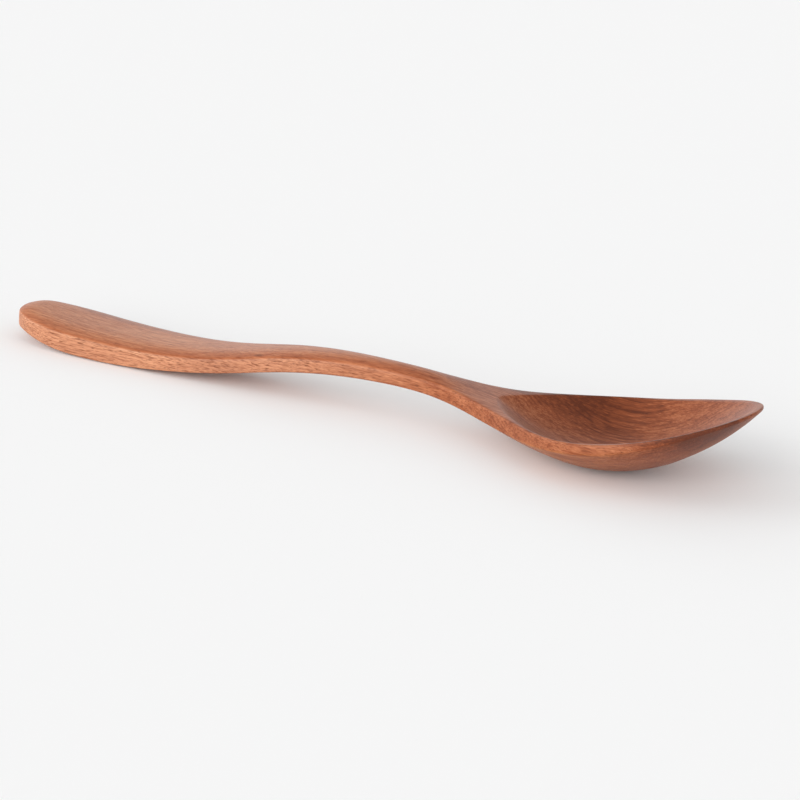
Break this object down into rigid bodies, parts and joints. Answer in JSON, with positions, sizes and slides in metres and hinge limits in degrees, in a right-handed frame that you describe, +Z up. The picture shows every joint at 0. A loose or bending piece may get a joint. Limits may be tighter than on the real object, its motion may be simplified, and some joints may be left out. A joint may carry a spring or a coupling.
{
  "type": "eating spoon",
  "caption": "Carved wooden eating spoon with an egg-shaped hollow bowl that rises to its tip, a slim arched neck and a broad handle with a round end.",
  "frame": {"origin": "on the table, under the middle of the spoon's length and width", "axes": "+X along the spoon from the handle's end to the bowl's tip, +Z up from the table and out of the hollow, +Y to the left for someone looking from the handle towards the bowl"},
  "size_m": [0.2, 0.0446, 0.0209],
  "materials": {
    "wood": "sanded and oiled red-brown hardwood, satin"
  },
  "bodies": {
    "root": {"carved_spoon": "wood"}
  },
  "joints": []
}
